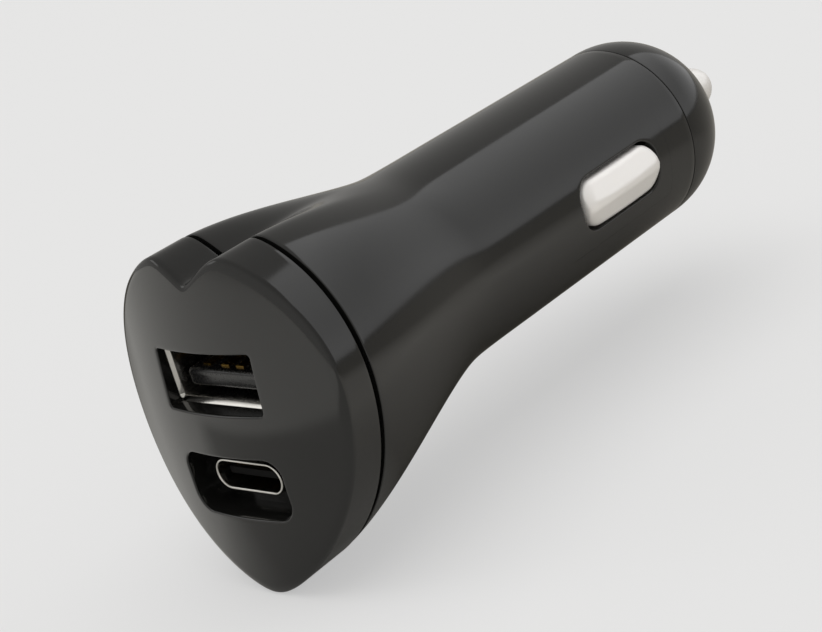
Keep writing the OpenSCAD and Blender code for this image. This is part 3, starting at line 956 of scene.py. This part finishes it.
@dataclass
class Bezel:
    """The front bezel: a bowed face with both openings, its rounded edge, the side band and the lip."""

    form: HeadForm
    wall: float = 1.8
    parting: float = 0.56
    parting_round: float = 0.12
    lip_gap: float = 0.15
    lip_t: float = 1.0
    lip_d: float = 2.6
    lip_step: float = 1.6
    large: Slot = Slot(12.6, 5.8, 0.4, (0.0, 2.1))
    large_d: float = 1.75
    seat_w: float = 0.6
    pocket: Slot = Slot(12.7, 6.2, 1.8, (0.0, -8.22))
    pocket_d: float = 3.3
    pocket_wall: float = 1.2
    hole: Slot = Slot(9.64, 3.96, 1.97, (0.0, -8.1))
    split_z: float = -2.95
    line_steps: int = 60
    edge_round: float = 0.2
    post: Slot = Slot(1.6, 3.2, 0.2, (8.35, 0.0))
    post_end: float = -13.62
    rim_rows: tuple[tuple[float, float, int], ...] = ((0.86, 0.95, 6), (0.95, 1.0, 8))
    back_share: float = 0.98

    def build(self) -> bpy.types.Object:
        """Builds the bezel.

        The face is split along a level line between the openings. In each half, every point of its border is
        joined straight to the nearest point of that half's opening.

        Returns:
            The new piece.
        """
        form = self.form
        surface = Surface()
        rings = np.stack([form.rim(u) for u in steps(*self.rim_rows)])
        surface.add(form.on_face(rings))
        rear = -form.flare_l - self.parting / 2
        edge = form.on_face(rings[-1])
        inset, depth = quarter(self.parting_round)
        corner = form.ring(rear - depth, inset)[::-1]
        surface.add(np.concatenate([between(edge, corner[0], steps((0.0, 1.0, 10))), corner[1:]]))
        outer_lip = self.wall + self.lip_gap
        inner_lip = outer_lip + self.lip_t
        lip_end = -form.flare_l + self.lip_d
        lip_y = [rear, rear, lip_end, lip_end, rear - self.lip_step / 2, rear - self.lip_step]
        lip_in = [self.parting_round, outer_lip, outer_lip, inner_lip, inner_lip, self.wall]
        lip = form.ring(lip_y, lip_in)
        surface.add(lip)
        back = form.on_face(rings[0] * self.back_share, self.wall)
        surface.add(np.stack([lip[-1], back]))
        loop = self.half_loop(rings[0], upper=True)
        self.half_face(surface, loop, self.large, self.large_seat(loop), None)
        outer = self.pocket.grown(self.pocket_wall)
        loop = self.half_loop(rings[0], upper=False)
        wall = form.on_face(self.pocket.around(loop), self.pocket_d)[None]
        self.half_face(surface, loop, self.pocket, wall, outer)
        self.pocket_floor(surface, loop, outer)
        root = form.face_y(self.post.centre[0], 0.0) + self.wall / 2
        for side in Side:
            surface.add(rounded_bar(self.post.mirrored(side), root, self.post_end, self.post.corner / 2))
        return surface.build("front_bezel_moulding", Body.MAIN)

    def large_seat(self, loop: Array) -> Array:
        """Rings behind the large opening: its wall's end, square to the axis, and the shell's wider seat.

        Args:
            loop: flat points of the upper half's border.

        Returns:
            Grid of points, one row a ring.
        """
        rings = np.stack([self.large.around(loop), self.large.around(loop, self.seat_w)])
        square = upright(rings, self.form.face_at(self.large) + self.large_d)
        return np.stack([*square, self.form.on_face(rings[1], self.wall)])

    def half_face(self, surface: Surface, loop: Array, slot: Slot, wall: Array, outer: Slot | None) -> None:
        """Adds one half of the face, its opening's rounded edge and wall, and the same half of the back.

        Args:
            surface: the bezel's surface.
            loop: flat points of this half's border.
            slot: the opening in this half.
            wall: rings of the opening's wall behind its rounded edge.
            outer: outline that the back of the face ends at, or None for the wall's last ring.
        """
        form = self.form
        shares = steps((0.0, 0.2, 3), (0.2, 1.0, 9))
        surface.add(form.on_face(between(slot.around(loop, self.edge_round), loop, shares)))
        inset, down = quarter(self.edge_round)
        rows = [form.on_face(slot.around(loop, grow), d) for grow, d in zip(inset, down)]
        surface.add(np.stack([*rows, *wall]))
        behind = outer.around(loop) if outer else wall[-1][..., [0, 2]]
        surface.add(form.on_face(between(behind, loop * self.back_share, shares[::3]), self.wall))

    def half_loop(self, border: Array, upper: bool) -> Array:
        """Closed border of one half of the face: its arc of the ring and the level line across.

        Args:
            border: flat points of the whole ring.
            upper: whether the upper half is meant.

        Returns:
            Flat points of the half's border.
        """
        count = len(border)
        right = int(np.argmin(np.abs(border[: count // 2, 1] - self.split_z)))
        left = count - right
        shares = steps((0.0, 1.0, self.line_steps))[1:-1, None]
        line = border[left] + (border[right] - border[left]) * shares
        if upper:
            return np.concatenate([border[right : left + 1], line])
        return np.concatenate([border[left:], border[: right + 1], line[::-1]])

    def pocket_floor(self, surface: Surface, loop: Array, outer: Slot) -> None:
        """Adds the pocket's floor with the small port's hole, and the outside of the pocket's wall.

        Args:
            surface: the bezel's surface.
            loop: flat points of the lower half's border.
            outer: outline of the pocket's wall from behind.
        """
        form, back = self.form, self.pocket_d + self.pocket_wall
        rim, hole, outside = (slot.around(loop) for slot in (self.pocket, self.hole, outer))
        surface.add(form.on_face(between(rim, hole, steps((0.0, 1.0, 4))), self.pocket_d))
        rows = [(hole, self.pocket_d), (hole, back), (outside, back), (outside, self.wall)]
        surface.add(np.stack([form.on_face(flat, depth) for flat, depth in rows]))


@dataclass
class Ports:
    """The two charging ports' shells and the large port's tongue."""

    form: HeadForm
    rear: float = -13.62
    large: Slot = Slot(13.1, 5.72, 0.5, (0.0, 2.1))
    large_set: float = 2.3
    large_t: float = 0.3
    flare: float = 0.2
    lead_in: float = 0.45
    mouth_in: float = 0.04
    mouth_l: float = 0.1
    tongue: Slot = Slot(11.1, 1.84, 0.5, (0.0, 1.15))
    tongue_set: float = 0.6
    tongue_round: float = 0.45
    root: Slot = Slot(12.46, 5.08, 0.2, (0.0, 2.1))
    root_l: float = 3.0
    small: Slot = Slot(8.94, 3.26, 1.62, (0.0, -8.1))
    small_set: float = 2.0
    small_t: float = 0.3

    def large_front(self) -> float:
        """Place of the large shell's rim."""
        return self.form.face_at(self.large) + self.large_set

    def large_shell(self) -> bpy.types.Object:
        """Builds the large shell: a drawn tube whose mouth is flared, so that a plug finds its way in.

        Returns:
            The new piece.
        """
        front, slot, t = self.large_front(), self.large, self.large_t
        edge = front - self.lead_in
        rows = [
            (slot, self.flare + t / 3, edge + t / 3),
            (slot, 0.0, front + t / 3),
            (slot, 0.0, self.rear),
            (slot, -t, self.rear),
            (slot, -t, front + self.mouth_l),
            (slot, -t + self.mouth_in, front),
            (slot, self.flare, edge),
            (slot, self.flare + t / 3, edge + t / 3),
        ]
        return one_piece("large_port_shell", Body.MAIN, lofted(rows))

    def large_tongue(self) -> bpy.types.Object:
        """Builds the large port's tongue with its rounded front edge, and the solid root behind it.

        Returns:
            The new piece.
        """
        front = self.large_front() + self.tongue_set
        root = self.rear - self.root_l
        inset, depth = quarter(self.tongue_round, 6)
        rows = [(self.tongue, -i, front + d) for i, d in zip(inset, depth)]
        rows += [(self.tongue, 0.0, root), (self.root, 0.0, root), (self.root, 0.0, self.rear)]
        return one_piece("large_port_tongue", Body.MAIN, capped(lofted(rows)))

    def small_shell(self) -> bpy.types.Object:
        """Builds the small shell: a drawn tube with a half round rim.

        Returns:
            The new piece.
        """
        front = self.form.face_at(self.small) + self.small_set
        r = self.small_t / 2
        turn = np.linspace(-np.pi / 2, np.pi / 2, 9)
        rim = [(self.small, -r + r * math.sin(a), front + r - r * math.cos(a)) for a in turn]
        end = (self.small, -self.small_t, self.rear)
        rows = [end, *rim, (self.small, 0.0, self.rear), end]
        return one_piece("small_port_shell", Body.MAIN, lofted(rows, 128))


@dataclass
class Contacts:
    """The sprung tip contact and the two side contacts."""

    form: HeadForm
    land_y: float
    tip_r: float = 2.6
    tip_out: float = 7.85
    tip_dome: float = 3.7
    shoulder_set: float = 2.1
    shoulder_t: float = 1.2
    shoulder_r: float = 3.9
    seat_r: float = 2.3
    seat_l: float = 1.6
    pad: Slot = Slot(4.95, 12.85, 1.95, (0.0, 23.1))
    pad_out: float = 1.0
    pad_tilt: float = 25.0
    pad_bow: float = 70.0
    pad_edge: float = 0.5
    pad_rows: tuple[tuple[float, float, int], ...] = ((0.0, 0.72, 10), (0.72, 1.0, 12))
    ridge_r: float = 1.2
    arm: Slot = Slot(0.4, 3.0, 0.15, (8.02, 0.0))
    arm_y: Pair = (1.0, 16.95)
    arm_round: float = 0.1

    def tip(self) -> bpy.types.Object:
        """Builds the tip contact as a turned profile with a round end, its shoulder and the spring's seat.

        Returns:
            The new piece.
        """
        end = self.land_y + self.tip_out
        turn = np.linspace(np.pi / 2, 0.0, 24)
        shoulder = self.land_y - self.shoulder_set
        under = shoulder - self.shoulder_t
        profile = [
            (0.0, under - self.seat_l),
            (self.seat_r, under - self.seat_l),
            (self.seat_r, under),
            (self.shoulder_r, under),
            (self.shoulder_r, shoulder),
            (self.tip_r, shoulder),
            *zip(self.tip_r * np.sin(turn), end + self.tip_dome * (np.cos(turn) - 1)),
        ]
        return one_piece("tip_contact_pin", Body.TIP, turned(np.array(profile), 96))

    def roof(self, across: Array) -> Array:
        """Height lost beside the pad's ridge: a circle at the ridge, then a flat flank at the pad's tilt.

        Args:
            across: distances from the ridge.

        Returns:
            The height lost at each of them.
        """
        tilt = math.radians(self.pad_tilt)
        bend = self.ridge_r * math.sin(tilt)
        z = np.abs(across)
        round_part = self.ridge_r - np.sqrt(self.ridge_r**2 - np.minimum(z, bend) ** 2)
        return round_part + np.maximum(0, z - bend) * math.tan(tilt)

    def side(self, side: Side) -> bpy.types.Object:
        """Builds one side contact: a pad with a soft ridge and rolled edges, and its sprung strip.

        The pad's outline shrinks to its middle. Its stand-off falls off beside the ridge and along a long
        bow, less a quarter ellipse near the outline.

        Args:
            side: the side of the barrel.

        Returns:
            The new piece.
        """
        rows = steps(*self.pad_rows)
        flat = (self.pad.outline(128) - np.array(self.pad.centre)) * rows[:, None, None]
        across, along = flat[..., 0], flat[..., 1]
        t = np.clip(1 - (1 - rows) * self.pad.width / 2 / self.pad_edge, 0, 1)[:, None]
        roll = self.pad_edge * (1 - np.sqrt(1 - t * t))
        top = self.form.barrel_r + self.pad_out
        x = top - self.roof(across) - along * along / (2 * self.pad_bow) - roll
        skin = np.stack([x, along + self.pad.centre[1], across], axis=-1)
        base = self.arm.centre[0] - self.arm.width / 2
        foot = skin[-1] * np.array([0.0, 1.0, 1.0]) + np.array([base, 0.0, 0.0])
        pad = capped(np.concatenate([skin, foot[None]]))[1:]
        arm = rounded_bar(self.arm, *self.arm_y, self.arm_round, 32)
        to_side = np.array([side.value, 1.0, 1.0])
        body = Body.RIGHT_CONTACT if side is Side.RIGHT else Body.LEFT_CONTACT
        return one_piece(f"side_contact_{side.name.lower()}_pad", body, pad * to_side, arm * to_side)


# Studio


@dataclass(frozen=True)
class Panel:
    """A square soft light that faces the object and that the camera doesn't see.

    turn is its direction from +Y towards +X and rise its height above the horizon, in degrees. far and side
    are in metres, and light is the radiance of its face, where 1 is the picture's white.
    """

    name: str
    turn: float
    rise: float
    far: float
    side: float
    light: float
    in_reflections: bool

    def build(self) -> None:
        """Adds the light."""
        data = bpy.data.lights.new(self.name, "AREA")
        data.size = self.side
        data.energy = self.light * self.side * self.side * math.pi
        lamp = bpy.data.objects.new(self.name, data)
        t, r = math.radians(self.turn), math.radians(self.rise)
        toward = Vector((math.sin(t) * math.cos(r), math.cos(t) * math.cos(r), math.sin(r)))
        lamp.location = toward * self.far
        lamp.rotation_euler = toward.to_track_quat("Z", "Y").to_euler()
        lamp.visible_camera = False
        lamp.visible_glossy = self.in_reflections
        bpy.context.collection.objects.link(lamp)


@dataclass
class Studio:
    """Floor, lights and camera.

    The edges on the floor, of its painted shadow and painted shade, are (direction, distance in mm, width in
    mm), as Shader.ramp takes them. The pairs of room_light are (how far a direction points along +Y,
    strength), those of key_side (metres from the foot of the key light's middle line, radiance) and those of
    key_foot (height in metres, share). The key light's other lengths and floor_half are in metres, and those
    of the camera in millimetres.
    """

    floor_z: float
    backdrop: str = "#e6e6e6"
    azimuth: float = 46.619
    elevation: float = 19.685
    roll: float = 16.629
    distance: float = 189.14
    offset: Pair = (-7.336, -0.823)
    origin_y: float = -11.13
    focal_px: float = 1982.17
    room_light: tuple[Pair, Pair] = ((-0.8, 0.64), (0.3, 0.42))
    floor_half: float = 3.0
    floor_glow: float = 0.6
    # edges of the painted shadow of the plug on the floor before it, seen in reflections
    patch_side: Triple = (57.0, 21.85, 8.0)
    painted_shadow_near: Triple = (-62.4, -79.46, 8.0)
    # edges of the painted shade on the floor under the plug and behind it, and where it gives way to the
    # front
    painted_shade_under_edge: Triple = (0.0, 20.0, 45.0)
    painted_shade_behind_edge: Triple = (-90.0, 65.0, 50.0)
    painted_shade_front_edge: Triple = (-90.0, -18.0, 20.0)
    key_turn: float = 22.0
    key_far: float = 1.5
    key_half: float = 1.05
    key_z: Pair = (0.04, 1.9)
    key_side: tuple[Pair, Pair] = ((0.95, 0.95), (1.5, 1.25))
    key_foot: tuple[Pair, ...] = ((0.0, 0.8), (0.15, 0.95), (0.3, 0.92), (0.6, 0.84), (1.0, 0.86))
    panels: tuple[Panel, ...] = (
        Panel("top panel", 0.0, 90.0, 2.5, 2.9, 1.4, False),
        Panel("side panel", -122.0, 36.0, 1.5, 0.6, 0.9, True),
    )

    def camera(self) -> None:
        """Places the camera at the photograph's viewing angle, found by fitting the whole outline."""
        a, e, r = (math.radians(v) for v in (self.azimuth, self.elevation, self.roll))
        back = Vector((math.sin(a) * math.cos(e), -math.cos(a) * math.cos(e), math.sin(e)))
        level = Vector((math.cos(a), math.sin(a), 0.0))
        rise = back.cross(level)
        right = level * math.cos(r) - rise * math.sin(r)
        up = level * math.sin(r) + rise * math.cos(r)
        place = back * self.distance - right * self.offset[0] - up * self.offset[1]
        data = bpy.data.cameras.new("camera")
        data.sensor_fit = "HORIZONTAL"
        data.lens = self.focal_px * data.sensor_width / IMAGE_WIDTH
        data.clip_start = 0.01
        cam = bpy.data.objects.new("camera", data)
        matrix = Matrix((right, up, back)).transposed().to_4x4()
        matrix.translation = (place + Vector((0.0, self.origin_y, 0.0))) * MM
        cam.matrix_world = matrix
        bpy.context.collection.objects.link(cam)
        bpy.context.scene.camera = cam

    def world(self) -> None:
        """Room light, stronger from the front, and the backdrop's grey for what the camera sees directly."""
        world = bpy.data.worlds.new("room")
        bpy.context.scene.world = world
        world.use_nodes = True
        world.node_tree.nodes.clear()
        n = Nodes(world.node_tree)
        toward = n.node("ShaderNodeTexCoord").outputs["Generated"]
        depth = n.node("ShaderNodeSeparateXYZ", Vector=toward).outputs["Y"]
        level = n.remap(depth, *self.room_light)
        room = n.node("ShaderNodeBackground", Color=linear("#fffdf9"), Strength=level)
        seen = n.node("ShaderNodeBackground", Color=linear(self.backdrop))
        path = n.node("ShaderNodeLightPath")
        mix = n.node("ShaderNodeMixShader", Fac=path.outputs["Is Camera Ray"])
        n.feed(mix.inputs[1], room.outputs[0])
        n.feed(mix.inputs[2], seen.outputs[0])
        n.node("ShaderNodeOutputWorld", Surface=mix.outputs[0])

    def floor_paint(self) -> bpy.types.Material:
        """Floor: even for the camera; in reflections, painted shadow before the plug and painted shade under
        it and behind it.

        The camera also gets a share of the colour, floor_glow, as plain light, which keeps the shadow pale.

        Returns:
            The material.
        """
        # floor whose colour holds painted shadow and painted shade, seen in reflections
        s = Shader("painted board")
        # painted shadow: a darker patch on the floor before the plug, for all rays but the camera's
        patch = s.product(s.ramp(*self.patch_side), s.ramp(*self.painted_shadow_near))
        front = s.blend(patch, linear("#fffefa"), linear("#c3c2bf"))
        # painted shade: darker floor under the plug and behind it, then joined to the front, for all rays but
        # the camera's
        under = s.blend(s.ramp(*self.painted_shade_under_edge), linear("#68655f"), linear("#e8e5df"))
        back = s.blend(s.ramp(*self.painted_shade_behind_edge), under, linear("#a6a39d"))
        painted_shade_tones = s.blend(s.ramp(*self.painted_shade_front_edge), front, back)
        seen = s.node("ShaderNodeLightPath").outputs["Is Camera Ray"]
        own = linear(self.backdrop)
        lit = tuple(v * (1 - self.floor_glow) for v in own[:3])
        s.principled(
            Base_Color=s.blend(seen, painted_shade_tones, (*lit, 1.0)),
            Roughness=0.9,
            Specular_IOR_Level=0.0,
            Emission_Color=own,
            Emission_Strength=s.product(seen, self.floor_glow),
        )
        return s.material

    def sheet(self, name: str, corners: list[Vector], paint: bpy.types.Material) -> bpy.types.Object:
        """Adds a flat sheet of the studio.

        Args:
            name: the sheet's name.
            corners: its four corners in order, in metres.
            paint: its material.

        Returns:
            The new object.
        """
        mesh = bpy.data.meshes.new(name)
        mesh.from_pydata(corners, [], [(0, 1, 2, 3)])
        mesh.materials.append(paint)
        made = bpy.data.objects.new(name, mesh)
        bpy.context.collection.objects.link(made)
        made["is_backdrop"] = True
        return made

    def floor(self) -> None:
        """Pale floor just under the head's point."""
        signs = ((-1, -1), (1, -1), (1, 1), (-1, 1))
        corners = [Vector((x * self.floor_half, y * self.floor_half, self.floor_z)) for x, y in signs]
        self.sheet("floor", corners, self.floor_paint())

    def key_cloth(self) -> bpy.types.Material:
        """Cloth of the large soft light: brighter away from the foot of its middle line.

        Returns:
            The material.
        """
        s = Shader("lit cloth")
        across = s.node("ShaderNodeSeparateXYZ", Vector=s.place)
        flat = s.node("ShaderNodeCombineXYZ", X=across.outputs["X"], Z=across.outputs["Z"])
        far = s.node("ShaderNodeVectorMath", {"operation": "LENGTH"}, Vector=flat.outputs["Vector"])
        foot = s.node("ShaderNodeFloatCurve", Value=across.outputs["Z"])
        curve = foot.mapping.curves[0]
        first, *inner, last = self.key_foot
        curve.points[0].location = first
        curve.points[1].location = last
        for place in inner:
            curve.points.new(*place)
        foot.mapping.update()
        s.principled(
            Base_Color=linear("#000000"),
            Specular_IOR_Level=0.0,
            Emission_Color=linear("#ffffff"),
            Emission_Strength=s.product(s.remap(far.outputs["Value"], *self.key_side), foot.outputs["Value"]),
        )
        return s.material

    def key(self) -> None:
        """Large upright soft light behind the plug and to its right, that only the camera doesn't see."""
        turn = math.radians(self.key_turn)
        low, high = self.key_z
        middle = Vector((math.sin(turn), math.cos(turn), 0.0)) * self.key_far
        along = Vector((math.cos(turn), -math.sin(turn), 0.0)) * self.key_half
        ends = ((-1, low), (1, low), (1, high), (-1, high))
        corners = [middle + along * sign + Vector((0.0, 0.0, z)) for sign, z in ends]
        self.sheet("key_light", corners, self.key_cloth()).visible_camera = False

    def build(self) -> None:
        """Builds floor, lights and camera."""
        self.floor()
        self.world()
        self.key()
        for panel in self.panels:
            panel.build()
        self.camera()
        bpy.context.scene.view_settings.view_transform = "Standard"


def main() -> None:
    """Builds every sub-assembly in order and reports each piece."""
    logging.basicConfig(level=logging.INFO, format="%(message)s")
    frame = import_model()
    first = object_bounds()
    mount = frame["record"]["mounts"][0]["dims"]
    form = HeadForm(barrel_r=mount["r_mm"])
    finishes = Finishes()
    finishes.carry_over(frame)
    housing = Housing(form, register_l=mount["length_mm"])
    nose = NoseCap(radius=form.barrel_r - housing.draft, start=housing.barrel_l + NoseCap.seam)
    ports = Ports(form)
    contacts = Contacts(form, land_y=nose.land_y)
    made = (
        (housing.build(), "gloss_black", None, "housing"),
        (Bezel(form).build(), "gloss_black", None, "front_bezel"),
        (nose.build(), "gloss_black", None, "nose_cap"),
        (ports.large_shell(), "steel_shell", None, "usb_a_shell"),
        (ports.large_tongue(), "port_plastic", "tongue", "usb_a_tongue"),
        (ports.small_shell(), "steel_shell", None, "usb_c_shell"),
        (contacts.tip(), "nickel_plate", None, "tip_contact"),
        (contacts.side(Side.RIGHT), "nickel_plate", None, "side_contact_right"),
        (contacts.side(Side.LEFT), "nickel_plate", None, "side_contact_left"),
    )
    for piece, slot, finish, node in made:
        finishes.dress(piece, slot, finish)
        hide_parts(node)
        LOG.info("%s: %d faces", piece.name, len(piece.data.polygons))
    Studio(floor_z=first[0][2] - FLOOR_GAP).build()


if __name__ == "__main__":
    main()
